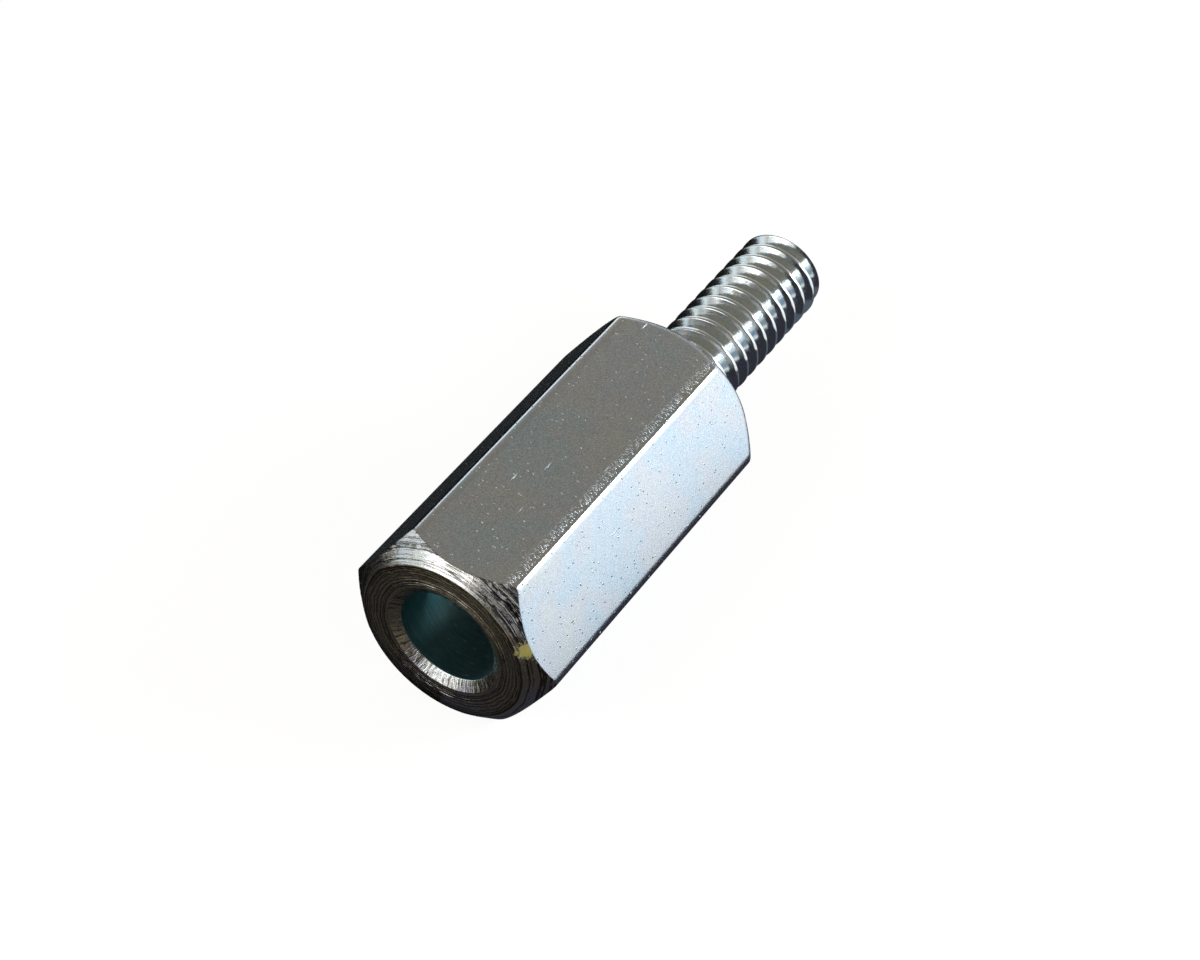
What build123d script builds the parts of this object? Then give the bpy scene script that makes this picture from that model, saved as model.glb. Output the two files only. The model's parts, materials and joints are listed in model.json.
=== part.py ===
"""Hexagonal spacer stud, turned from one length of hexagon bar.

One end has a threaded stud, the other a counterbored and tapped hole.
The part lies on one flat of its hexagon, with its axis along +X and the stud pointing to +X.
The origin is on the surface that it lies on, below the middle of its whole length.
"""

import os
from math import atan2, ceil, cos, degrees, radians, tan

from build123d import *

# Hexagonal body
across_flats = 12.7
body_length = 25.4
edge_radius = 0.4

# Conical chamfers at the two ends of the body: how far each reaches in from the middle of a flat
front_chamfer = 0.58
shoulder_chamfer = 0.1
chamfer_angle = 45

# Hole: countersunk mouth, clearance counterbore, tapped length and drill point
countersink_width = 0.72
countersink_depth = 0.5
counterbore_diameter = 6.66
counterbore_depth = 6.4
tap_drill_diameter = 5.1
tapped_length = 10.6
drill_point_angle = 118

# Stud: a short plain length beside the shoulder, the thread, and a broken edge at the tip
stud_diameter = 6.22
stud_length = 15.7
plain_length = 1.0
tip_chamfer = 0.33

# Right-hand thread of the stud, with its widths as shares of the pitch
thread_pitch = 1.27
thread_flank_angle = 30
crest_width_share = 0.2
root_width_share = 0.1
runout_turn_share = 0.5
thread_start_angle = 38

# How far a cutting shape reaches past the face that it cuts
overrun = 0.06

hexagon_sides = 6
full_length = body_length + stud_length
stud_radius = stud_diameter / 2
flank_width = thread_pitch * (1 - crest_width_share - root_width_share) / 2
groove_depth = flank_width / tan(radians(thread_flank_angle))
root_radius = stud_radius - groove_depth


def turned(*profile):
    """A solid of revolution about Z, from (height, radius) points between two points on the axis."""
    points = [(radius, height) for height, radius in profile]
    return revolve(Plane.XZ * make_face(Polyline(*points, close=True)), Axis.Z)


def hexagon_body():
    """The bar's hexagon with rounded edges, turned to a cone at both ends."""
    half_side_angle = 180 / hexagon_sides
    hexagon = RegularPolygon(across_flats / 2, hexagon_sides, major_radius=False, rotation=half_side_angle)
    outline = fillet(hexagon.vertices(), edge_radius)
    front_radius = across_flats / 2 - front_chamfer
    shoulder_radius = across_flats / 2 - shoulder_chamfer
    outer_radius = across_flats / 2 / cos(radians(half_side_angle)) + overrun
    slope = tan(radians(chamfer_angle))
    envelope = turned(
        (0, 0),
        (0, front_radius),
        ((outer_radius - front_radius) * slope, outer_radius),
        (body_length - (outer_radius - shoulder_radius) * slope, outer_radius),
        (body_length, shoulder_radius),
        (body_length, 0),
    )
    return extrude(outline, body_length) & envelope


def hole():
    """The space that the drills and the countersink leave at the front end."""
    counterbore_radius = counterbore_diameter / 2
    tap_drill_radius = tap_drill_diameter / 2
    mouth_slope = countersink_width / countersink_depth
    tapped_depth = counterbore_depth + tapped_length
    point_length = tap_drill_radius / tan(radians(drill_point_angle / 2))
    return turned(
        (-overrun, 0),
        (-overrun, counterbore_radius + countersink_width + overrun * mouth_slope),
        (countersink_depth, counterbore_radius),
        (counterbore_depth, counterbore_radius),
        (counterbore_depth, tap_drill_radius),
        (tapped_depth, tap_drill_radius),
        (tapped_depth + point_length, 0),
    )


def thread_groove():
    """The groove between the crests: a run-out beside the shoulder, then whole turns to past the tip."""
    runout_length = thread_pitch * runout_turn_share
    runout_rise = groove_depth + overrun
    groove_start = body_length + plain_length + runout_length
    turn_count = ceil((full_length + thread_pitch - groove_start) / thread_pitch)
    half_mouth = thread_pitch * (1 - crest_width_share) / 2 + overrun * tan(radians(thread_flank_angle))
    half_root = thread_pitch * root_width_share / 2
    section = Plane.XZ * make_face(
        Polyline(
            (root_radius, -half_root),
            (stud_radius + overrun, -half_mouth),
            (stud_radius + overrun, half_mouth),
            (root_radius, half_root),
            close=True,
        )
    )
    runout_angle = degrees(atan2(runout_rise, runout_length))
    rising_helix = Helix(thread_pitch, runout_length, stud_radius, cone_angle=runout_angle)
    runout = Rot(180, 0, 0) * sweep(section, rising_helix, is_frenet=True)
    turn = sweep(section, Helix(thread_pitch, thread_pitch, stud_radius), is_frenet=True)
    turns = [Pos(0, 0, index * thread_pitch) * turn for index in range(turn_count)]
    place = Pos(0, 0, groove_start) * Rot(0, 0, thread_start_angle)
    return [place * piece for piece in [runout, *turns]]


def stud():
    """The turned stud with its thread."""
    blank = turned(
        (body_length - overrun, 0),
        (body_length - overrun, stud_radius),
        (full_length - tip_chamfer, stud_radius),
        (full_length, stud_radius - tip_chamfer),
        (full_length, 0),
    )
    return blank - thread_groove()


def spacer_stud():
    """The whole part, laid on one flat of its hexagon."""
    upright = hexagon_body() + stud() - hole()
    return Pos(-full_length / 2, 0, across_flats / 2) * Rot(0, 90, 0) * upright


os.makedirs("parts", exist_ok=True)
export_step(spacer_stud(), "parts/spacer_stud.step")
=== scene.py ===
"""Zinc plated spacer stud on a pale studio floor, laid out as an add-on and run as a script."""

import json
from math import atan2, cos, pi, radians, sin, tan

import bmesh
import bpy
import numpy as np
from bpy.props import FloatProperty, FloatVectorProperty, IntProperty, PointerProperty
from mathutils import Matrix, Vector


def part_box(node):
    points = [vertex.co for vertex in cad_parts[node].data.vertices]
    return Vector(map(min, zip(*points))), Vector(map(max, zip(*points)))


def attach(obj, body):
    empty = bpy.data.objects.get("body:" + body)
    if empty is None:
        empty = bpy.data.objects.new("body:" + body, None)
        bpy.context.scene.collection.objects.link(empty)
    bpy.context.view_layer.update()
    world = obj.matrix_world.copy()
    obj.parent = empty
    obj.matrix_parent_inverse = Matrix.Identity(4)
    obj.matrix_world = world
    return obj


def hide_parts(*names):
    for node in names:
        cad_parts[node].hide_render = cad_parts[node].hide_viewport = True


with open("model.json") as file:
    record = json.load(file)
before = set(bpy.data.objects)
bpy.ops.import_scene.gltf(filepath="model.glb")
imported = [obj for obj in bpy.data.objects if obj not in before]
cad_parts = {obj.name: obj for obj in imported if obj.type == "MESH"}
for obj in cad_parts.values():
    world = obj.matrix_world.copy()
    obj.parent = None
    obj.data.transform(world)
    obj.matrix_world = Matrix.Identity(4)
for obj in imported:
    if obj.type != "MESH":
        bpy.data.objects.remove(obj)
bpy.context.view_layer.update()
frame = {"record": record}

bl_info = {
    "name": "Spacer Stud",
    "version": (1, 0, 0),
    "blender": (4, 5, 0),
    "location": "View3D > Sidebar > Spacer Stud",
    "description": "Builds a zinc plated hexagonal spacer stud and the studio that it is shown in",
    "category": "Object",
}

MM = 0.001
NODE = "spacer_stud"
SIDES = 6

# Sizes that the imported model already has
LOW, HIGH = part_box(NODE)
MOUNTS = {mount["name"]: mount for mount in frame["record"]["mounts"]}
FRONT_X = LOW.x
SHOULDER_X = MOUNTS["shoulder"]["pos_m"][0]
TIP_X = HIGH.x
AXIS_Z = MOUNTS["stud"]["pos_m"][2]
STUD_RADIUS = MOUNTS["stud"]["dims"]["r_mm"] * MM
BORE_RADIUS = MOUNTS["counterbore"]["dims"]["r_mm"] * MM
TAP_RADIUS = MOUNTS["tapped_hole"]["dims"]["r_mm"] * MM
TAPPED_LENGTH = MOUNTS["tapped_hole"]["dims"]["length_mm"] * MM

# Material order on the part
FLATS, TURNED, BORE, THREAD = range(4)

# Mesh columns across half a flat, its roll-off and its rounded edge, and the two edges at the sides
FLAT_STEPS, ROLL_STEPS, EDGE_STEPS = 9, 5, 7
SIDE_EDGES = (0, 3)

# Places of the mesh rows in a rounded corner, as shares of the way round it
CORNER_SHARES = (0.0, 0.34, 0.66)

# A band with more rows than this has a row close to each corner, within this share of a step
EVEN_ROWS, CLOSE_SHARE = 3, 0.3

# Rows over which the tool marks fade in from a corner
FADE_ROWS = 2

# Faces that meet at more than this have a sharp edge between them
SHARP_ANGLE = radians(40.0)


def length(name, default, description):
    """A length that the user can change, in metres."""
    return FloatProperty(
        name=name, description=description, default=default, subtype="DISTANCE", unit="LENGTH", precision=6
    )


def angle(name, degrees_default, description):
    """An angle that the user can change, given in degrees."""
    return FloatProperty(
        name=name, description=description, default=radians(degrees_default), subtype="ANGLE"
    )


def share(name, default, description):
    """A plain factor that the user can change."""
    return FloatProperty(name=name, description=description, default=default, subtype="FACTOR", min=0.0)


def colour(name, default, description):
    """A linear colour that the user can change."""
    return FloatVectorProperty(
        name=name, description=description, default=default, subtype="COLOR", size=3, min=0.0, max=1.0
    )


class SpacerSizes(bpy.types.PropertyGroup):
    """Sizes of the part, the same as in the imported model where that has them."""

    across_flats: length("Across flats", HIGH.z - LOW.z, "Width of the hexagon bar")
    edge_radius: length("Edge radius", 0.42 * MM, "Radius of the hexagon's long edges")
    roll_radius: length("Roll radius", 1.7 * MM, "Radius at which a flat rolls off beside an edge")
    side_roll: length("Side roll", 3.3 * MM, "Radius at which a flat rolls off beside the two side edges")
    roll_angle: angle("Roll angle", 8.0, "How far a flat rolls off before the edge itself")
    front_chamfer: length("Front chamfer", 0.58 * MM, "How far the front cone reaches in from a flat")
    shoulder_chamfer: length("Shoulder chamfer", 0.1 * MM, "How far the rear cone reaches in from a flat")
    countersink_width: length("Countersink width", 0.72 * MM, "Width of the cone round the hole")
    countersink_depth: length("Countersink depth", 0.5 * MM, "Depth of the cone round the hole")
    counterbore_depth: length("Counterbore depth", 6.4 * MM, "Depth of the plain hole")
    drill_point_angle: angle("Drill point", 118.0, "Full angle of the cone at the bottom of the hole")
    tip_chamfer: length("Tip chamfer", 0.33 * MM, "Broken edge at the stud's tip")
    edge_break: length("Edge break", 0.06 * MM, "Rounding of the turned edges")
    rim_break: length("Rim break", 0.25 * MM, "Rounding of the flats where they meet the rear cone")
    pitch: length("Thread pitch", 1.27 * MM, "Distance between turns of the thread")
    crest_share: share("Crest width", 0.2, "Width of the stud's crest as a share of the pitch")
    root_share: share("Root width", 0.1, "Width of the stud's root as a share of the pitch")
    flank_angle: angle("Flank angle", 30.0, "Lean of a thread flank from square to the axis")
    plain_length: length("Plain length", 1.0 * MM, "Unthreaded length beside the shoulder")
    runout_turns: share("Run-out", 0.5, "Turns over which the groove rises to the surface")
    start_angle: angle("Thread start", 38.0, "Where the full groove of the stud starts")
    tapped_root_radius: length("Tapped radius", 3.2 * MM, "Radius to the bottom of the tapped groove")
    tapped_root_share: share("Tapped root width", 0.125, "Width of the tapped root as a share of the pitch")
    tapped_lead: share("Tapped lead", 0.6, "Turns by which the tap's path is longer than the tapped length")
    tapped_round: share("Tapped rounding", 0.1, "Rounding of the tapped crest as a share of the stud's")
    crest_round: length("Crest rounding", 0.035 * MM, "Rounding of the edges of the stud's crest")
    overrun: length("Overrun", 0.06 * MM, "How far a cutting shape reaches past the surface that it cuts")
    steps_per_turn: IntProperty(
        name="Steps per turn", description="Facets of the thread in one turn", default=96, min=24
    )


class SpacerFinish(bpy.types.PropertyGroup):
    """Colours and marks of the plated surfaces."""

    flats_colour: colour("Flats", (0.655, 0.765, 0.85), "Plated bar")
    turned_colour: colour("Turned faces", (0.67, 0.69, 0.70), "Plated turned faces")
    # Teal tint of the plate inside the hole, darkened as painted shade of the hole
    bore_tint_and_shade: colour("Bore", (0.25, 0.44, 0.47), "Thin plate inside the hole")
    thread_colour: colour("Thread", (0.775, 0.83, 0.855), "Plated thread")
    feed: length("Feed", 0.18 * MM, "Distance between the rings that the turning tool left")
    face_depth: length("Face marks", 0.028 * MM, "Depth of the rings on the end faces")
    cone_depth: length("Cone marks", 0.032 * MM, "Depth of the rings on the cones")
    seed: IntProperty(name="Seed", description="Pattern of the tool marks", default=3)


class StageSettings(bpy.types.PropertyGroup):
    """Floor, lights and cards of the studio."""

    floor_glow: share("Floor glow", 0.91, "Brightness of the floor apart from its shadow")
    floor_shade: share("Floor shade", 0.2, "How strongly the floor shows the part's shadow")
    left_light: share("Left light", 2.8, "Brightness of the soft light to the left of the camera")
    rear_light: share("Rear light", 8.0, "Brightness of the small light behind the part")
    window_light: share("Window light", 0.8, "Brightness of the wide light low behind the part")
    # The front, left, right and stud cards lie where the part's shadow falls: painted shadow, seen in
    # reflections
    front_shadow_card: colour("Front card", (0.036, 0.031, 0.025), "Card before the part")
    far_card: colour("Far card", (0.34, 0.28, 0.18), "Card beyond the front card")
    left_shadow_card: colour("Left card", (0.008, 0.008, 0.008), "Card to the left of the part")
    right_shadow_card: colour("Right card", (0.034, 0.033, 0.044), "Card under the part and to its right")
    stud_shadow_card: colour("Stud card", (0.10, 0.12, 0.145), "Card on the floor beside the stud")
    camera_card: colour("Camera card", (0.025, 0.026, 0.03), "Card beside the camera")
    rear_card: colour("Rear card", (0.33, 0.32, 0.30), "Card behind the stud")
    side_card: colour("Side card", (0.85, 0.95, 0.97), "Card standing to the left")
    shade_card: colour("Shade card", (0.12, 0.145, 0.145), "Card standing to the left of the stud")
    cream_card: colour("Cream card", (0.5, 0.5, 0.46), "Low card below the left light")
    blue_card: colour("Blue card", (0.76, 0.79, 0.84), "Card standing to the right")
    low_card: colour("Low card", (0.30, 0.35, 0.42), "Low card standing to the right")


def put(tree, kind, inputs=None, **settings):
    """Adds a node with settings and inputs: a socket is linked to an input, and a value is set on it."""
    node = tree.nodes.new(kind)
    for key, value in settings.items():
        setattr(node, key, value)
    for key, value in (inputs or {}).items():
        socket = node.inputs[key]
        if isinstance(value, bpy.types.NodeSocket):
            tree.links.new(value, socket)
        else:
            socket.default_value = value
    return node


def calc(tree, operation, *values):
    """The result of a Math node."""
    return put(tree, "ShaderNodeMath", dict(enumerate(values)), operation=operation).outputs[0]


def product(tree, first, second):
    """One value times another."""
    return calc(tree, "MULTIPLY", first, second)


def vector(tree, operation, *values, result=0):
    """A result of a Vector Math node."""
    return put(tree, "ShaderNodeVectorMath", dict(enumerate(values)), operation=operation).outputs[result]


def scaled(tree, tint, factor):
    """A colour or vector times a value."""
    return put(tree, "ShaderNodeVectorMath", {0: tint, "Scale": factor}, operation="SCALE").outputs[0]


def new_tree(name, sockets):
    """A Geometry Nodes tree with named inputs; returns it, its input sockets and their identifiers."""
    tree = bpy.data.node_groups.new(name, "GeometryNodeTree")
    tree.interface.new_socket("Geometry", in_out="INPUT", socket_type="NodeSocketGeometry")
    tree.interface.new_socket("Geometry", in_out="OUTPUT", socket_type="NodeSocketGeometry")
    keys = {}
    for label, kind in sockets.items():
        item = tree.interface.new_socket(label, in_out="INPUT", socket_type=f"NodeSocket{kind}")
        keys[label] = item.identifier
    source = tree.nodes.new("NodeGroupInput")
    return tree, {socket.name: socket for socket in source.outputs}, keys


def end_tree(tree, geometry, material, selection):
    """Ends a tree in Realize Instances and Set Material."""
    real = put(tree, "GeometryNodeRealizeInstances", {"Geometry": geometry})
    dressed = put(
        tree,
        "GeometryNodeSetMaterial",
        {"Geometry": real.outputs[0], "Selection": selection, "Material": material},
    )
    put(tree, "NodeGroupOutput", {0: dressed.outputs[0]})


def feed_marks_tree():
    """Rings that a turning tool leaves: scallops that follow the distance from the axis."""
    tree, given, keys = new_tree(
        "feed_marks", {"Feed": "Float", "Axis Height": "Float", "Seed": "Int", "Material": "Material"}
    )
    place = put(tree, "GeometryNodeInputPosition").outputs[0]
    axes = put(tree, "ShaderNodeSeparateXYZ", {0: place})
    across = calc(tree, "SUBTRACT", axes.outputs[2], given["Axis Height"])
    square = calc(tree, "MULTIPLY_ADD", across, across, product(tree, axes.outputs[1], axes.outputs[1]))
    ring = calc(tree, "DIVIDE", calc(tree, "SQRT", square), given["Feed"])
    wander = put(tree, "ShaderNodeTexNoise", {"Vector": place, "Scale": 700.0, "Detail": 1.0}).outputs[0]
    ring = calc(tree, "MULTIPLY_ADD", wander, 0.5, ring)
    saw = calc(tree, "MULTIPLY_ADD", calc(tree, "FRACT", ring), 2.0, -1.0)
    scallop = product(tree, saw, saw)
    number = put(tree, "FunctionNodeFloatToInt", {0: ring}, rounding_mode="FLOOR").outputs[0]
    chance = put(
        tree,
        "FunctionNodeRandomValue",
        {2: 0.3, 3: 1.0, "ID": number, "Seed": given["Seed"]},
        data_type="FLOAT",
    ).outputs[1]
    depth = put(tree, "GeometryNodeInputNamedAttribute", {"Name": "feed_depth"}, data_type="FLOAT").outputs[0]
    height = product(tree, product(tree, scallop, chance), depth)
    offset = scaled(tree, put(tree, "GeometryNodeInputNormal").outputs[0], height)
    marked = put(tree, "GeometryNodeSetPosition", {"Geometry": given["Geometry"], "Offset": offset})
    turned = calc(tree, "GREATER_THAN", depth, 0.0)
    end_tree(tree, marked.outputs[0], given["Material"], turned)
    return tree, keys


def groove_section(tree, given):
    """Outline of the groove across its path: a trapezoid whose mouth is rounded at the surface."""
    soft, past = given["Edge Round"], given["Overrun"]
    inner = product(tree, given["Inner Width"], 0.5)
    bottom = product(tree, given["Depth"], -0.5)
    mouth = calc(tree, "SUBTRACT", product(tree, given["Depth"], 0.5), past)
    spread = calc(tree, "SUBTRACT", product(tree, given["Outer Width"], 0.5), inner)
    slope = calc(tree, "DIVIDE", spread, given["Depth"])

    def flank(below, wider):
        """Half width and height at some roundings below the surface, widened by a share of the rounding."""
        height = calc(tree, "SUBTRACT", mouth, product(tree, soft, below))
        straight = calc(tree, "MULTIPLY_ADD", calc(tree, "SUBTRACT", height, bottom), slope, inner)
        return calc(tree, "MULTIPLY_ADD", soft, wider, straight), height

    half = [(inner, bottom), flank(1.6, 0.0), flank(1.0, 0.0), flank(0.4, 0.27), flank(0.0, 1.03)]
    top = calc(tree, "ADD", mouth, past)
    half.append((calc(tree, "MULTIPLY_ADD", past, 2.4, half[-1][0]), top))
    ring = half + [(product(tree, across, -1.0), up) for across, up in reversed(half)]
    pick = put(tree, "GeometryNodeIndexSwitch", data_type="VECTOR")
    while len(pick.index_switch_items) < len(ring):
        pick.index_switch_items.new()
    tree.links.new(put(tree, "GeometryNodeInputIndex").outputs[0], pick.inputs[0])
    for number, (across, up) in enumerate(ring):
        point = put(tree, "ShaderNodeCombineXYZ", {0: across, 1: up})
        tree.links.new(point.outputs[0], pick.inputs[number + 1])
    loop = put(
        tree, "GeometryNodeCurvePrimitiveCircle", {"Resolution": len(ring), "Radius": MM}, mode="RADIUS"
    )
    placed = put(tree, "GeometryNodeSetPosition", {"Geometry": loop.outputs[0], "Position": pick.outputs[0]})
    return placed.outputs[0]


def thread_tree():
    """Cuts a helical groove into the part: a trapezoid swept along a spiral that rises at its start."""
    tree, given, keys = new_tree(
        "cut_thread",
        {
            "Start": "Float",
            "Axis Height": "Float",
            "Start Angle": "Float",
            "Pitch": "Float",
            "Turns": "Float",
            "Middle Radius": "Float",
            "Depth": "Float",
            "Inner Width": "Float",
            "Outer Width": "Float",
            "Run-out Turns": "Float",
            "Edge Round": "Float",
            "Overrun": "Float",
            "Steps": "Int",
            "Material": "Material",
        },
    )
    spiral = put(
        tree,
        "GeometryNodeCurveSpiral",
        {
            "Resolution": given["Steps"],
            "Rotations": given["Turns"],
            "Start Radius": given["Middle Radius"],
            "End Radius": given["Middle Radius"],
            "Height": product(tree, given["Turns"], given["Pitch"]),
            "Reverse": True,
        },
    )
    along = put(tree, "GeometryNodeSplineParameter").outputs["Factor"]
    turn = product(tree, along, given["Turns"])
    left = calc(tree, "MAXIMUM", calc(tree, "SUBTRACT", given["Run-out Turns"], turn), 0.0)
    rise = calc(tree, "DIVIDE", left, calc(tree, "MAXIMUM", given["Run-out Turns"], 0.001))
    place = put(tree, "GeometryNodeInputPosition").outputs[0]
    outward = vector(tree, "NORMALIZE", vector(tree, "MULTIPLY", place, (1.0, 1.0, 0.0)))
    lift = scaled(tree, outward, product(tree, rise, given["Depth"]))
    raised = put(tree, "GeometryNodeSetPosition", {"Geometry": spiral.outputs[0], "Offset": lift})
    level = put(tree, "GeometryNodeSetCurveNormal", {"Curve": raised.outputs[0]}, mode="Z_UP")
    section = groove_section(tree, given)
    upright = put(
        tree, "GeometryNodeTransform", {"Geometry": section, "Rotation": (0.0, 0.0, radians(-90.0))}
    )
    groove = put(
        tree,
        "GeometryNodeCurveToMesh",
        {"Curve": level.outputs[0], "Profile Curve": upright.outputs[0], "Fill Caps": True},
    )
    spin = put(tree, "ShaderNodeCombineXYZ", {2: given["Start Angle"]})
    turned = put(tree, "GeometryNodeTransform", {"Geometry": groove.outputs[0], "Rotation": spin.outputs[0]})
    spot = put(tree, "ShaderNodeCombineXYZ", {0: given["Start"], 2: given["Axis Height"]})
    along_x = (0.0, radians(90.0), 0.0)
    laid = put(
        tree,
        "GeometryNodeTransform",
        {"Geometry": turned.outputs[0], "Translation": spot.outputs[0], "Rotation": along_x},
    )
    marked = put(
        tree,
        "GeometryNodeStoreNamedAttribute",
        {"Geometry": laid.outputs[0], "Name": "cut", "Value": 1.0},
        data_type="FLOAT",
        domain="FACE",
    )
    cut = put(tree, "GeometryNodeMeshBoolean", operation="DIFFERENCE", solver="MANIFOLD")
    tree.links.new(given["Geometry"], cut.inputs["Mesh 1"])
    tree.links.new(marked.outputs[0], cut.inputs["Mesh 2"])
    is_cut = put(tree, "GeometryNodeInputNamedAttribute", {"Name": "cut"}, data_type="FLOAT").outputs[0]
    end_tree(tree, cut.outputs[0], given["Material"], calc(tree, "GREATER_THAN", is_cut, 0.5))
    return tree, keys


def half_flat(sizes, roll):
    """Angle and radius of points from the middle of a flat to the edge beside it."""
    half, side = sizes.across_flats / 2, pi / SIDES
    edge, lean = sizes.edge_radius, sizes.roll_angle
    corner_height = half - roll * (1 - cos(lean)) - edge * (cos(lean) - cos(side))
    flat = tan(side) * corner_height - roll * sin(lean) - edge * (sin(side) - sin(lean))
    points = [(flat * step, half) for step in np.linspace(0, 1, FLAT_STEPS, endpoint=False)]
    for bend in np.linspace(0, lean, ROLL_STEPS, endpoint=False):
        points.append((flat + roll * sin(bend), half - roll * (1 - cos(bend))))
    across, up = flat + roll * sin(lean), half - roll * (1 - cos(lean))
    for bend in np.linspace(lean, side, EDGE_STEPS):
        points.append((across + edge * (sin(bend) - sin(lean)), up - edge * (cos(lean) - cos(bend))))
    return [(atan2(x, y), (x * x + y * y) ** 0.5) for x, y in points]


def hexagon_outline(sizes):
    """Angle and radius of each column of the part's mesh, round the axis."""
    side = pi / SIDES
    rolls = [sizes.side_roll if edge in SIDE_EDGES else sizes.roll_radius for edge in range(SIDES)]
    slopes = [half_flat(sizes, roll) for roll in rolls]
    columns = []
    for index in range(SIDES):
        middle = side + 2 * side * index
        columns += [(middle - turn, radius) for turn, radius in slopes[index][-2:0:-1]]
        columns += [(middle + turn, radius) for turn, radius in slopes[(index + 1) % SIDES]]
    return np.array(columns)


def part_corners(sizes, outline):
    """Corners of the turned profile of each column: place along the axis, radius and rounding."""
    whole = np.ones_like(outline)
    bottom = FRONT_X + sizes.counterbore_depth
    tap_end = bottom + TAPPED_LENGTH
    front = sizes.across_flats / 2 - sizes.front_chamfer
    shoulder = sizes.across_flats / 2 - sizes.shoulder_chamfer
    soft = sizes.edge_break
    return [
        ((tap_end + TAP_RADIUS / tan(sizes.drill_point_angle / 2)) * whole, 0 * whole, 0),
        (tap_end * whole, TAP_RADIUS * whole, 0),
        (bottom * whole, TAP_RADIUS * whole, soft),
        (bottom * whole, BORE_RADIUS * whole, soft),
        ((FRONT_X + sizes.countersink_depth) * whole, BORE_RADIUS * whole, soft),
        (FRONT_X * whole, (BORE_RADIUS + sizes.countersink_width) * whole, soft),
        (FRONT_X * whole, front * whole, soft),
        (FRONT_X + outline - front, outline, soft),
        (SHOULDER_X - (outline - shoulder), outline, sizes.rim_break),
        (SHOULDER_X * whole, shoulder * whole, soft),
        (SHOULDER_X * whole, STUD_RADIUS * whole, soft),
        ((TIP_X - sizes.tip_chamfer) * whole, STUD_RADIUS * whole, soft),
        (TIP_X * whole, (STUD_RADIUS - sizes.tip_chamfer) * whole, soft),
        (TIP_X * whole, 0 * whole, 0),
    ]


# Rows of the mesh between two corners of the profile, the surface there, and the share of its tool marks
BANDS = [
    (3, BORE, None),
    (6, THREAD, None),
    (4, BORE, None),
    (6, BORE, None),
    (24, TURNED, None),
    (84, TURNED, "face"),
    (48, TURNED, "cone"),
    (8, FLATS, None),
    (6, TURNED, "cone"),
    (16, TURNED, "face"),
    (6, THREAD, None),
    (3, THREAD, None),
    (24, TURNED, "face"),
]


def part_rows(sizes, finish, outline):
    """Rows of the mesh from the bottom of the hole to the tip.

    Each has its places and radii, the depth of its tool marks and the surface that follows it.
    """
    corners = part_corners(sizes, outline)
    points = [np.stack([x, r], axis=1) for x, r, soft in corners]
    hold = 2 * sizes.edge_break
    depths = {None: 0.0, "face": finish.face_depth, "cone": finish.cone_depth}
    rows = [(points[0], 0.0, BANDS[0][1])]
    leave = points[0]
    for index, (steps, surface, marks) in enumerate(BANDS):
        start, corner = leave, points[index + 1]
        soft = corners[index + 1][2]
        inward = corner - points[index]
        inward /= np.linalg.norm(inward, axis=1, keepdims=True)
        arrive = corner - soft * inward
        span = np.linalg.norm(arrive - start, axis=1, keepdims=True)
        near = np.minimum(hold / span, CLOSE_SHARE / steps) if steps > EVEN_ROWS else 1 / steps + 0 * span
        inner = [near + (1 - 2 * near) * step for step in np.linspace(0, 1, max(steps - 1, 2))]
        for place, reach in enumerate(inner):
            edge = min(place, len(inner) - 1 - place)
            depth = depths[marks] * min(edge, FADE_ROWS) / FADE_ROWS
            rows.append((start + (arrive - start) * reach, depth, surface))
        if soft and index + 2 < len(points):
            onward = points[index + 2] - corner
            onward /= np.linalg.norm(onward, axis=1, keepdims=True)
            leave = corner + soft * onward
            for bend in CORNER_SHARES:
                curve = (1 - bend) ** 2 * arrive + 2 * bend * (1 - bend) * corner + bend**2 * leave
                rows.append((curve, 0.0, surface if bend < 0.5 else BANDS[index + 1][1]))
            rows.append((leave, 0.0, BANDS[index + 1][1]))
        else:
            leave = corner
            next_surface = BANDS[index + 1][1] if index + 1 < len(BANDS) else surface
            rows.append((corner, 0.0, next_surface))
    return rows


def part_mesh(sizes, finish):
    """The blank as one closed mesh, before the tool marks and the threads."""
    columns = hexagon_outline(sizes)
    turn, outline = columns[:, 0], columns[:, 1]
    rows = part_rows(sizes, finish, outline)
    count = len(columns)
    shape = bmesh.new()
    depth_layer = shape.verts.layers.float.new("feed_depth")
    grid = []
    for number, (profile, depth, surface) in enumerate(rows):
        if number in (0, len(rows) - 1):
            grid.append([shape.verts.new((profile[0, 0], 0.0, AXIS_Z))] * count)
            continue
        ring = []
        for (x, r), direction in zip(profile, turn):
            vertex = shape.verts.new((x, r * cos(direction), AXIS_Z + r * sin(direction)))
            vertex[depth_layer] = depth
            ring.append(vertex)
        grid.append(ring)
    for number in range(len(rows) - 1):
        here, there = grid[number], grid[number + 1]
        for column in range(count):
            after = (column + 1) % count
            corners = [here[column], here[after], there[after], there[column]]
            face = shape.faces.new(list(dict.fromkeys(corners)))
            face.material_index = rows[number][2]
            face.smooth = True
    bmesh.ops.recalc_face_normals(shape, faces=shape.faces)
    mesh = bpy.data.meshes.new("plated_spacer")
    shape.to_mesh(mesh)
    shape.free()
    return mesh


def add_tree(piece, name, tree, keys, values):
    """Puts a Geometry Nodes modifier on a piece and sets its inputs."""
    modifier = piece.modifiers.new(name, "NODES")
    modifier.node_group = tree
    for label, value in values.items():
        modifier[keys[label]] = value


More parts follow.
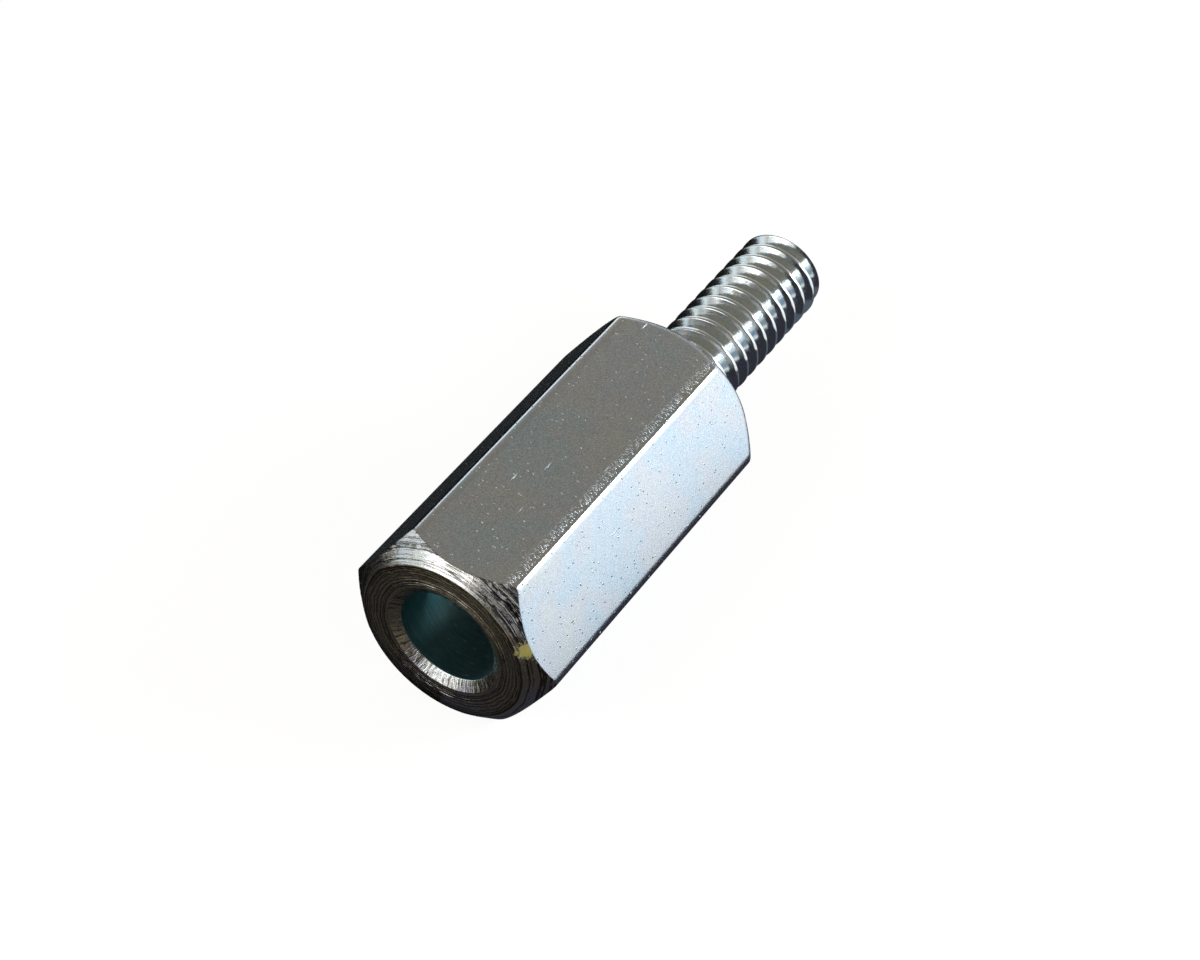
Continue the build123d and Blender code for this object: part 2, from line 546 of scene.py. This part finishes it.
def stud_thread(sizes):
    """Inputs of the groove round the stud."""
    flank = sizes.pitch * (1 - sizes.crest_share - sizes.root_share) / 2
    depth = flank / tan(sizes.flank_angle)
    start = SHOULDER_X + sizes.plain_length
    mouth = sizes.pitch * (1 - sizes.crest_share) + 2 * sizes.overrun * tan(sizes.flank_angle)
    return {
        "Start": start,
        "Start Angle": sizes.start_angle - 2 * pi * sizes.runout_turns,
        "Turns": (TIP_X - start) / sizes.pitch + 1,
        "Middle Radius": STUD_RADIUS - depth / 2 + sizes.overrun / 2,
        "Depth": depth + sizes.overrun,
        "Inner Width": sizes.pitch * sizes.root_share,
        "Outer Width": mouth,
        "Run-out Turns": sizes.runout_turns,
        "Edge Round": sizes.crest_round,
    }


def tapped_thread(sizes):
    """Inputs of the groove in the tapped hole."""
    depth = sizes.tapped_root_radius - TAP_RADIUS
    root = sizes.pitch * sizes.tapped_root_share
    reach = depth + sizes.overrun
    return {
        "Start": FRONT_X + sizes.counterbore_depth - sizes.pitch,
        "Start Angle": sizes.start_angle,
        "Turns": TAPPED_LENGTH / sizes.pitch + sizes.tapped_lead,
        "Middle Radius": TAP_RADIUS - sizes.overrun + reach / 2,
        "Depth": reach,
        "Inner Width": root + 2 * reach * tan(sizes.flank_angle),
        "Outer Width": root,
        "Run-out Turns": 0.0,
        "Edge Round": sizes.tapped_round * sizes.crest_round,
    }


def metal(name, base, roughness=0.3):
    """A plated metal to be detailed: the material, its tree, its shader and millimetre coordinates."""
    material = bpy.data.materials.new(name)
    material.use_nodes = True
    tree = material.node_tree
    shader = tree.nodes["Principled BSDF"]
    shader.inputs["Base Color"].default_value = (*base, 1.0)
    shader.inputs["Metallic"].default_value = 1.0
    shader.inputs["Roughness"].default_value = roughness
    place = put(tree, "ShaderNodeTexCoord").outputs["Object"]
    scale = put(tree, "ShaderNodeMapping", {"Vector": place, "Scale": (1 / MM,) * 3})
    return material, tree, shader, scale.outputs[0]


def noise(tree, where, scale, detail=2.0, rough=0.5):
    """A noise value with features of about 1 / scale millimetres."""
    return put(
        tree, "ShaderNodeTexNoise", {"Vector": where, "Scale": scale, "Detail": detail, "Roughness": rough}
    ).outputs["Fac"]


def ramp(tree, value, *stops):
    """A colour ramp with (position, colour) stops."""
    node = put(tree, "ShaderNodeValToRGB", {0: value})
    elements = node.color_ramp.elements
    while len(elements) < len(stops):
        elements.new(0.5)
    for element, (position, tint) in zip(elements, stops):
        element.position = position
        element.color = (*tint, 1.0)
    return node.outputs["Color"]


def tinted(base, factor):
    """A colour times a factor for each channel."""
    return tuple(min(1.0, channel * change) for channel, change in zip(base, factor))


def eased(tree, value, low, high, start=0.0, end=1.0):
    """A value brought from one range to another, smoothly."""
    node = put(
        tree,
        "ShaderNodeMapRange",
        {"Value": value, "From Min": low, "From Max": high, "To Min": start, "To Max": end},
        interpolation_type="SMOOTHSTEP",
    )
    return node.outputs[0]


def dots(tree, where, scale, part, reach):
    """Sparse round dots: the share of the cells that have one, and its radius in cells."""
    cells = put(tree, "ShaderNodeTexVoronoi", {"Vector": where, "Scale": scale}, feature="F1")
    pick = put(tree, "ShaderNodeSeparateColor", {0: cells.outputs["Color"]}).outputs[0]
    near = eased(tree, cells.outputs["Distance"], 0.0, reach, 1.0, 0.0)
    return product(tree, calc(tree, "LESS_THAN", pick, part), near)


def from_axis(tree, where):
    """Distance from the part's axis, in millimetres."""
    axes = put(tree, "ShaderNodeSeparateXYZ", {0: where})
    up = calc(tree, "SUBTRACT", axes.outputs[2], AXIS_Z / MM)
    flat = put(tree, "ShaderNodeCombineXYZ", {0: axes.outputs[1], 1: up})
    return vector(tree, "LENGTH", flat.outputs[0], result=1)


def blended(tree, factor, tint, other):
    """A colour that gives way to another by a factor."""
    inputs = {"Factor": factor, "A": tint, "B": other}
    return put(tree, "ShaderNodeMix", inputs, data_type="RGBA").outputs["Result"]


def layered(tree, *layers):
    """The sum of (value, weight) layers."""
    total = product(tree, *layers[0])
    for value, weight in layers[1:]:
        total = calc(tree, "MULTIPLY_ADD", value, weight, total)
    return total


def relief(tree, shader, height, distance):
    """Puts a height on the shader as bump, in millimetres."""
    bump = put(tree, "ShaderNodeBump", {"Height": height, "Distance": distance * MM, "Strength": 1.0})
    tree.links.new(bump.outputs[0], shader.inputs["Normal"])


# Bands beside a flat's long edges by distance from the axis, the first for painted glints and the second for
# polish, and the top flat by height, in millimetres
GLINT_START, GLINT_FULL, GLINT_FADE, GLINT_END = 6.9, 7.12, 7.185, 7.235
POLISH_START, POLISH_FULL = 6.98, 7.1
TOP_START, TOP_FULL = 12.5, 12.62
# Colour of the dust specks and of the painted glints
SPECK_AND_GLINT_COLOUR = (0.95, 0.95, 0.93, 1.0)


def flats_material(finish):
    """Satin plate on the drawn bar: mottled passivation, fine grain, specks, pits and scratches, with glints
    painted as white dots along the top of the middle edge.
    """
    base = tuple(finish.flats_colour)
    material, tree, shader, place = metal("satin_flats", base)
    mottle = noise(tree, place, 0.26, 4.0, 0.65)
    tint = ramp(
        tree,
        mottle,
        (0.36, tinted(base, (0.95, 1.01, 1.06))),
        (0.46, tinted(base, (1.0, 1.02, 1.04))),
        (0.54, tinted(base, (1.06, 1.0, 1.01))),
        (0.66, tinted(base, (1.08, 1.04, 0.98))),
    )
    radius = from_axis(tree, place)
    axes = put(tree, "ShaderNodeSeparateXYZ", {0: place})
    near_half = eased(tree, axes.outputs[1], -1.0, 0.0, 1.0, 0.0)
    on_top = product(tree, near_half, eased(tree, axes.outputs[2], TOP_START, TOP_FULL))
    # Band along the top flat's edge beside the middle edge, where glints are painted as white dots
    edge = eased(tree, radius, GLINT_START, GLINT_FULL)
    edge = product(tree, edge, eased(tree, radius, GLINT_FADE, GLINT_END, 1.0, 0.0))
    edge = product(tree, edge, on_top)
    grain = noise(tree, place, 11.0, 3.0, 0.7)
    pits = dots(tree, place, 2.3, 0.4, 0.2)
    shifted = put(tree, "ShaderNodeMapping", {"Vector": place, "Location": (3.1, 7.7, 5.3)}).outputs[0]
    specks = dots(tree, shifted, 2.5, 0.5, 0.18)
    edge_glints = product(tree, dots(tree, shifted, 8.0, 0.9, 0.6), edge)
    long = put(tree, "ShaderNodeMapping", {"Vector": place, "Scale": (0.5, 6.0, 6.0)}).outputs[0]
    scratches = dots(tree, long, 1.0, 0.015, 0.3)
    shaded = calc(tree, "MULTIPLY_ADD", pits, -0.5, eased(tree, grain, 0.3, 0.7, 0.82, 1.18))
    # Dust specks and painted glints turn the colour white and less metallic
    bright = calc(tree, "MAXIMUM", specks, product(tree, edge_glints, 0.55))
    dusted_and_glinting = blended(tree, bright, scaled(tree, tint, shaded), SPECK_AND_GLINT_COLOUR)
    tree.links.new(dusted_and_glinting, shader.inputs["Base Color"])
    tree.links.new(calc(tree, "MULTIPLY_ADD", bright, -0.8, 1.0), shader.inputs["Metallic"])
    polished = eased(tree, radius, POLISH_START, POLISH_FULL, 1.0, 0.5)
    satin = eased(tree, grain, 0.3, 0.7, 0.18, 0.3)
    tree.links.new(product(tree, satin, polished), shader.inputs["Roughness"])
    raised = layered(tree, (grain, 0.14), (specks, 1.2), (edge_glints, 1.5), (scratches, 0.9), (pits, -0.5))
    relief(tree, shader, raised, 0.028)
    return material


# Cone and countersink by distance from the axis, the upper side where burr glints are painted by height, and
# the stain, in millimetres
CONE_START, CONE_FULL = 5.6, 5.9
UPPER_START, UPPER_FULL = 9.8, 10.6
SINK_FULL, SINK_END = 3.95, 4.05
STAIN_PLACE = (-20.2, -5.39, 9.21)
STAIN_COLOUR = (0.66, 0.60, 0.18, 1.0)
# White of the glints painted on the burr lines
BURR_GLINT_COLOUR = (0.9, 0.9, 0.88, 1.0)


def turned_material(finish):
    """Turned faces: fine rings between the modelled ones, scored lines and countersink ticks darkened in
    colour as painted shade of the tool marks, burr lines painted white as glints on the upper cone, torn
    flecks and a yellow stain.
    """
    base = tuple(finish.turned_colour)
    material, tree, shader, place = metal("turned_faces", base)
    radius = from_axis(tree, place)
    axes = put(tree, "ShaderNodeSeparateXYZ", {0: place})
    line = put(tree, "ShaderNodeCombineXYZ", {0: product(tree, radius, 26.0)})
    rings = noise(tree, line.outputs[0], 1.0, 2.0, 0.6)
    torn = noise(tree, place, 5.0, 3.0, 0.7)
    drift = calc(tree, "MULTIPLY_ADD", noise(tree, place, 0.8, 1.0), 2.0, product(tree, radius, 9.5))
    score = put(tree, "ShaderNodeCombineXYZ", {0: drift, 1: noise(tree, place, 1.6, 1.0)}).outputs[0]
    # The scored lines darken the colour: painted shade of the tool marks
    score_marks_and_shade = eased(tree, noise(tree, score, 1.0, 2.0, 0.6), 0.41, 0.52, 0.2, 1.0)
    # Burr lines on the upper side of the cone, painted white and less metallic as glints
    on_cone = eased(tree, radius, CONE_START, CONE_FULL, 0.0, 0.9)
    on_cone = product(tree, on_cone, eased(tree, axes.outputs[2], UPPER_START, UPPER_FULL))
    burr_glints = product(tree, eased(tree, noise(tree, score, 1.9, 1.0), 0.52, 0.585), on_cone)
    up = calc(tree, "SUBTRACT", axes.outputs[2], AXIS_Z / MM)
    round_axis = calc(tree, "ARCTAN2", up, axes.outputs[1])
    swing = put(tree, "ShaderNodeCombineXYZ", {0: product(tree, round_axis, 16.0), 1: radius})
    ticks = noise(tree, swing.outputs[0], 1.0, 2.0, 0.7)
    at_mouth = eased(tree, axes.outputs[0], -1.0, 0.0, 1.0, 0.0)
    sink = product(tree, eased(tree, radius, SINK_FULL, SINK_END, 1.0, 0.0), at_mouth)
    # The countersink's ticks darken the colour as well: painted shade of the chatter marks
    tick_shade = calc(tree, "SUBTRACT", eased(tree, ticks, 0.38, 0.48, 0.3, 1.0), score_marks_and_shade)
    score_marks_and_shade = calc(tree, "MULTIPLY_ADD", tick_shade, sink, score_marks_and_shade)
    blotch = noise(tree, place, 0.7, 3.0, 0.6)
    tint = ramp(
        tree,
        blotch,
        (0.32, tinted(base, (0.92, 0.88, 1.04))),
        (0.45, base),
        (0.58, tinted(base, (1.04, 1.0, 0.93))),
        (0.72, tinted(base, (0.95, 1.0, 1.03))),
    )
    spot = vector(tree, "DISTANCE", place, STAIN_PLACE, result=1)
    spot = calc(tree, "MULTIPLY_ADD", calc(tree, "SUBTRACT", torn, 0.5), 1.8, spot)
    stain = eased(tree, spot, 0.35, 0.65, 1.0, 0.0)
    stained = blended(tree, stain, scaled(tree, tint, score_marks_and_shade), STAIN_COLOUR)
    tree.links.new(blended(tree, burr_glints, stained, BURR_GLINT_COLOUR), shader.inputs["Base Color"])
    bare = calc(tree, "MULTIPLY_ADD", burr_glints, -0.7, eased(tree, spot, 0.35, 0.65, 0.2, 1.0))
    tree.links.new(calc(tree, "MAXIMUM", bare, 0.0), shader.inputs["Metallic"])
    tree.links.new(eased(tree, torn, 0.35, 0.65, 0.14, 0.3), shader.inputs["Roughness"])
    flecks = dots(tree, place, 3.0, 0.35, 0.3)
    chatter = product(tree, ticks, sink)
    raised = layered(tree, (rings, 0.5), (torn, 0.5), (flecks, 0.7), (chatter, 3.0))
    relief(tree, shader, raised, 0.016)
    return material


def bore_material(finish):
    """Drilled wall with the plate's teal tint, darkened as painted shade inside the hole, with faint drill
    lines and bright scratches.
    """
    base = tuple(finish.bore_tint_and_shade)
    material, tree, shader, place = metal("bore_wall", base, 0.38)
    lines = put(tree, "ShaderNodeMapping", {"Vector": place, "Scale": (9.0, 0.6, 0.6)})
    score_marks_and_shade = noise(tree, lines.outputs[0], 1.0, 3.0, 0.6)
    long = put(tree, "ShaderNodeMapping", {"Vector": place, "Scale": (6.0, 1.0, 1.0)}).outputs[0]
    scratches = dots(tree, long, 1.0, 0.3, 0.3)
    dark, pale = tinted(base, (0.8, 0.85, 0.9)), tinted(base, (1.15, 1.1, 1.05))
    tint = ramp(tree, score_marks_and_shade, (0.35, dark), (0.65, pale))
    bright = calc(tree, "MULTIPLY_ADD", scratches, 0.9, 1.0)
    tree.links.new(scaled(tree, tint, bright), shader.inputs["Base Color"])
    relief(tree, shader, calc(tree, "MULTIPLY_ADD", scratches, 1.5, score_marks_and_shade), 0.008)
    return material


def thread_material(finish):
    """Bright plate on the thread, a little uneven."""
    base = tuple(finish.thread_colour)
    material, tree, shader, place = metal("plated_thread", base)
    cloud = noise(tree, place, 1.6, 3.0, 0.6)
    cool, warm = tinted(base, (0.93, 0.98, 1.03)), tinted(base, (1.03, 1.0, 0.95))
    tree.links.new(ramp(tree, cloud, (0.35, cool), (0.65, warm)), shader.inputs["Base Color"])
    grain = noise(tree, place, 6.0, 3.0, 0.65)
    tree.links.new(eased(tree, grain, 0.3, 0.7, 0.08, 0.16), shader.inputs["Roughness"])
    relief(tree, shader, grain, 0.005)
    return material


class SPACERSTUD_OT_part(bpy.types.Operator):
    """Turns the spacer, marks its turned faces and cuts both threads."""

    bl_idname = "spacer_stud.part"
    bl_label = "Plated Spacer"

    def execute(self, context):
        sizes, finish = context.scene.spacer_sizes, context.scene.spacer_finish
        mesh = part_mesh(sizes, finish)
        finishes = (flats_material, turned_material, bore_material, thread_material)
        materials = [make(finish) for make in finishes]
        for material in materials:
            mesh.materials.append(material)
        piece = bpy.data.objects.new("plated_spacer", mesh)
        context.scene.collection.objects.link(piece)
        marks, mark_keys = feed_marks_tree()
        add_tree(
            piece,
            "feed marks",
            marks,
            mark_keys,
            {"Feed": finish.feed, "Axis Height": AXIS_Z, "Seed": finish.seed, "Material": materials[TURNED]},
        )
        cut, cut_keys = thread_tree()
        shared = {
            "Axis Height": AXIS_Z,
            "Pitch": sizes.pitch,
            "Overrun": sizes.overrun,
            "Steps": sizes.steps_per_turn,
            "Material": materials[THREAD],
        }
        add_tree(piece, "stud thread", cut, cut_keys, {**shared, **stud_thread(sizes)})
        add_tree(piece, "tapped thread", cut, cut_keys, {**shared, **tapped_thread(sizes)})
        graph = context.evaluated_depsgraph_get()
        made = bpy.data.meshes.new_from_object(piece.evaluated_get(graph))
        piece.modifiers.clear()
        piece.data = made
        made.shade_smooth()
        made.set_sharp_from_angle(angle=SHARP_ANGLE)
        if len(made.polygons) <= len(mesh.polygons):
            raise RuntimeError("the threads were not cut")
        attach(piece, "root")
        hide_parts(NODE)
        return {"FINISHED"}


# Floor: radius of its flat part, of the sweep up to the wall, and the wall's height, in metres
FLOOR_RADIUS, SWEEP_RADIUS, WALL_HEIGHT = 0.30, 0.06, 0.18
FLOOR_STEPS, SWEEP_STEPS = 96, 8

# How far a card lies above the floor, in metres, and the number of strips in a curved card
CARD_LIFT = 0.04 * MM
CARD_STRIPS = 11


def floor_material(stage):
    """Pale floor that looks white to the camera and in reflections, and keeps the part's shadow."""
    material = bpy.data.materials.new("pale_floor")
    material.use_nodes = True
    tree = material.node_tree
    tree.nodes.clear()
    path = put(tree, "ShaderNodeLightPath")
    seen = calc(
        tree,
        "MAXIMUM",
        path.outputs["Is Camera Ray"],
        calc(tree, "MAXIMUM", path.outputs["Is Glossy Ray"], path.outputs["Is Transmission Ray"]),
    )
    plain = put(tree, "ShaderNodeBsdfDiffuse", {"Color": (0.8, 0.8, 0.8, 1.0)})
    grey = (stage.floor_shade,) * 3
    shadow = put(tree, "ShaderNodeBsdfDiffuse", {"Color": (*grey, 1.0)})
    glow = put(tree, "ShaderNodeEmission", {"Color": (1.0, 1.0, 1.0, 1.0), "Strength": stage.floor_glow})
    shown = put(tree, "ShaderNodeAddShader", {0: shadow.outputs[0], 1: glow.outputs[0]})
    mixed = put(tree, "ShaderNodeMixShader", {0: seen, 1: plain.outputs[0], 2: shown.outputs[0]})
    put(tree, "ShaderNodeOutputMaterial", {0: mixed.outputs[0]})
    return material


def card_material(name, tint):
    """A plain card of one tone."""
    material = bpy.data.materials.new(name)
    material.use_nodes = True
    tree = material.node_tree
    tree.nodes.clear()
    tone = put(tree, "ShaderNodeEmission", {"Color": (*tint, 1.0), "Strength": 1.0})
    put(tree, "ShaderNodeOutputMaterial", {0: tone.outputs[0]})
    return material


def sheet(name, points, faces, material, smooth=False):
    """A stage object from points and faces."""
    mesh = bpy.data.meshes.new(name)
    mesh.from_pydata(points, [], faces)
    mesh.materials.append(material)
    if smooth:
        mesh.shade_smooth()
    piece = bpy.data.objects.new(name, mesh)
    bpy.context.scene.collection.objects.link(piece)
    return piece


def backdrop(stage):
    """Round floor that sweeps up to a low wall all round the part."""
    profile = [(FLOOR_RADIUS, 0.0)]
    for bend in np.linspace(0, pi / 2, SWEEP_STEPS + 1)[1:]:
        profile.append((FLOOR_RADIUS + SWEEP_RADIUS * sin(bend), SWEEP_RADIUS * (1 - cos(bend))))
    profile.append((FLOOR_RADIUS + SWEEP_RADIUS, WALL_HEIGHT))
    points, faces = [(0.0, 0.0, 0.0)], []
    for radius, height in profile:
        for index in range(FLOOR_STEPS):
            turn = 2 * pi * index / FLOOR_STEPS
            points.append((radius * cos(turn), radius * sin(turn), height))
    for index in range(FLOOR_STEPS):
        after = (index + 1) % FLOOR_STEPS
        faces.append((0, 1 + index, 1 + after))
        for row in range(len(profile) - 1):
            low, high = 1 + row * FLOOR_STEPS, 1 + (row + 1) * FLOOR_STEPS
            faces.append((low + index, high + index, high + after, low + after))
    sheet("floor", points, faces, floor_material(stage), smooth=True)


def card(name, points, faces, tint):
    """A card that shows in reflections alone."""
    piece = sheet(name, points, faces, card_material(name, tint))
    piece.visible_camera = False
    piece.visible_diffuse = False
    piece.visible_shadow = False
    piece.visible_transmission = False
    piece.visible_volume_scatter = False


def laid_card(name, corners, tint):
    """A card on the floor, with corners in millimetres."""
    points = [(x * MM, y * MM, CARD_LIFT) for x, y in corners]
    card(name, points, [tuple(range(len(points)))], tint)


def standing_card(name, radius, turns, heights, tint, low=0.0):
    """A curved card that stands round the part, from one direction in degrees and height to another."""
    points = []
    for step in np.linspace(0, 1, CARD_STRIPS + 1):
        turn = radians(turns[0] + (turns[1] - turns[0]) * step)
        height = heights[0] + (heights[1] - heights[0]) * step
        points += [(radius * cos(turn), radius * sin(turn), level) for level in (low, height)]
    faces = [(2 * index, 2 * index + 1, 2 * index + 3, 2 * index + 2) for index in range(CARD_STRIPS)]
    card(name, points, faces, tint)


def cards(stage):
    """Cards as a photographer sets them round bright metal; the dark ones on the floor before, left of, under
    and right of the part are painted shadow, seen in reflections.

    Those on the floor have corners in millimetres.
    Those that stand have a radius in metres, directions in degrees and heights in metres.
    """
    # The dark cards on the floor lie where the part's shadow falls: painted shadow, seen in reflections
    far = [(-300, 45), (-38, 45), (-38, -20), (-300, -20)]
    laid_card("front_shadow_card", [(-22, 300), (-300, 300), *far, (-300, -300), (-22, -300)], stage.front_shadow_card)
    laid_card("far_card", far[::-1], stage.far_card)
    laid_card("left_shadow_card", [(-22, 0), (300, 0), (300, 300), (-22, 300)], stage.left_shadow_card)
    right = [(-22, 0), (-22, -34), (26, -34), (26, -19), (15, -19), (15, 0)]
    laid_card("right_shadow_card", right, stage.right_shadow_card)
    beside_stud = [(15, 0), (15, -19), (26, -19), (26, -12), (38, -12), (38, 0)]
    laid_card("stud_shadow_card", beside_stud, stage.stud_shadow_card)
    standing_card("camera_card", 0.13, (184, 270), (0.15, 0.06), stage.camera_card)
    standing_card("low_card", 0.13, (270, 294), (0.06, 0.036), stage.low_card)
    standing_card("blue_card", 0.15, (278, 296), (0.12, 0.12), stage.blue_card, low=0.056)
    standing_card("cream_card", 0.29, (138, 160), (0.06, 0.06), stage.cream_card)
    standing_card("rear_card", 0.29, (-12, 25), (0.14, 0.14), stage.rear_card)
    standing_card("side_card", 0.29, (102, 137), (0.14, 0.14), stage.side_card)
    standing_card("shade_card", 0.29, (58, 102), (0.17, 0.17), stage.shade_card)


def soft_light(name, brightness, tint, direction, distance, width, height):
    """A soft box that faces the part; its brightness is what it shows in a mirror."""
    lamp = bpy.data.lights.new(name, "AREA")
    lamp.shape = "RECTANGLE"
    lamp.size, lamp.size_y = width, height
    lamp.energy = brightness * pi * width * height
    lamp.color = tint
    box = bpy.data.objects.new(name, lamp)
    bpy.context.scene.collection.objects.link(box)
    away = Vector(direction).normalized()
    box.location = Vector((0.0, 0.0, AXIS_Z)) + away * distance
    box.rotation_euler = away.to_track_quat("Z", "Y").to_euler()


def lights(stage):
    """The three soft boxes, with their distances and sizes in metres."""
    soft_light(
        "left_light",
        stage.left_light,
        tint=(1.0, 0.99, 0.97),
        direction=(-0.76, 0.37, 0.53),
        distance=0.25,
        width=0.15,
        height=0.13,
    )
    soft_light(
        "rear_light",
        stage.rear_light,
        tint=(0.97, 0.99, 1.0),
        direction=(0.54, -0.69, 0.485),
        distance=0.25,
        width=0.14,
        height=0.055,
    )
    soft_light(
        "window_light",
        stage.window_light,
        tint=(0.94, 0.97, 1.0),
        direction=(0.63, -0.75, 0.19),
        distance=0.27,
        width=0.16,
        height=0.11,
    )


def studio_world():
    """Soft room light, dim overhead."""
    world = bpy.data.worlds.new("studio")
    bpy.context.scene.world = world
    world.use_nodes = True
    tree = world.node_tree
    direction = put(tree, "ShaderNodeTexCoord").outputs["Generated"]
    height = put(tree, "ShaderNodeSeparateXYZ", {0: direction}).outputs[2]
    sky = ramp(tree, height, (0.3, (0.5, 0.5, 0.5)), (0.7, (0.235, 0.204, 0.163)), (1.0, (0.23, 0.2, 0.158)))
    tree.links.new(sky, tree.nodes["Background"].inputs["Color"])


# Camera as fitted to the photograph's edges: it turns about a point on the axis, then slides across and back
CAMERA_TURN, CAMERA_RISE, CAMERA_ROLL = radians(-64.4531), radians(47.3365), radians(9.3824)
CAMERA_TARGET = Vector((-1.5, 0.0, 6.35)) * MM
CAMERA_SLIDE = Vector((-0.77343, -1.49098, 177.19294)) * MM
CAMERA_LENS, CAMERA_SENSOR = 83.335, 36.0


def camera():
    """The photograph's camera."""
    level = Vector((sin(CAMERA_TURN), -cos(CAMERA_TURN), 0.0)) * cos(CAMERA_RISE)
    back = level + Vector((0.0, 0.0, sin(CAMERA_RISE)))
    right = Vector((0.0, 0.0, 1.0)).cross(back).normalized()
    up = back.cross(right)
    right, up = (
        right * cos(CAMERA_ROLL) + up * sin(CAMERA_ROLL),
        up * cos(CAMERA_ROLL) - right * sin(CAMERA_ROLL),
    )
    lens = bpy.data.cameras.new("camera")
    lens.lens, lens.sensor_width = CAMERA_LENS, CAMERA_SENSOR
    lens.clip_start, lens.clip_end = 0.01, 10.0
    eye = bpy.data.objects.new("camera", lens)
    bpy.context.scene.collection.objects.link(eye)
    turn = Matrix((right, up, back)).transposed()
    eye.matrix_world = Matrix.Translation(CAMERA_TARGET + turn @ CAMERA_SLIDE) @ turn.to_4x4()
    bpy.context.scene.camera = eye


class SPACERSTUD_OT_stage(bpy.types.Operator):
    """Sets up the floor, the cards, the lights and the camera."""

    bl_idname = "spacer_stud.stage"
    bl_label = "Studio"

    def execute(self, context):
        stage = context.scene.spacer_stage
        backdrop(stage)
        cards(stage)
        lights(stage)
        studio_world()
        camera()
        context.scene.view_settings.view_transform = "Standard"
        return {"FINISHED"}


class SPACERSTUD_PT_panel(bpy.types.Panel):
    """Lists the operators and their settings."""

    bl_idname = "SPACERSTUD_PT_panel"
    bl_label = "Spacer Stud"
    bl_space_type = "VIEW_3D"
    bl_region_type = "UI"
    bl_category = "Spacer Stud"

    def draw(self, context):
        scene = context.scene
        for operator, settings in (
            (SPACERSTUD_OT_part, (scene.spacer_sizes, scene.spacer_finish)),
            (SPACERSTUD_OT_stage, (scene.spacer_stage,)),
        ):
            box = self.layout.box()
            box.operator(operator.bl_idname)
            for group in settings:
                for name in group.__annotations__:
                    box.prop(group, name)


CLASSES = (
    SpacerSizes,
    SpacerFinish,
    StageSettings,
    SPACERSTUD_OT_part,
    SPACERSTUD_OT_stage,
    SPACERSTUD_PT_panel,
)


def register():
    for kind in CLASSES:
        bpy.utils.register_class(kind)
    bpy.types.Scene.spacer_sizes = PointerProperty(type=SpacerSizes)
    bpy.types.Scene.spacer_finish = PointerProperty(type=SpacerFinish)
    bpy.types.Scene.spacer_stage = PointerProperty(type=StageSettings)


def unregister():
    del bpy.types.Scene.spacer_stage
    del bpy.types.Scene.spacer_finish
    del bpy.types.Scene.spacer_sizes
    for kind in reversed(CLASSES):
        bpy.utils.unregister_class(kind)


def main():
    register()
    bpy.ops.spacer_stud.part()
    bpy.ops.spacer_stud.stage()


if __name__ == "__main__":
    main()
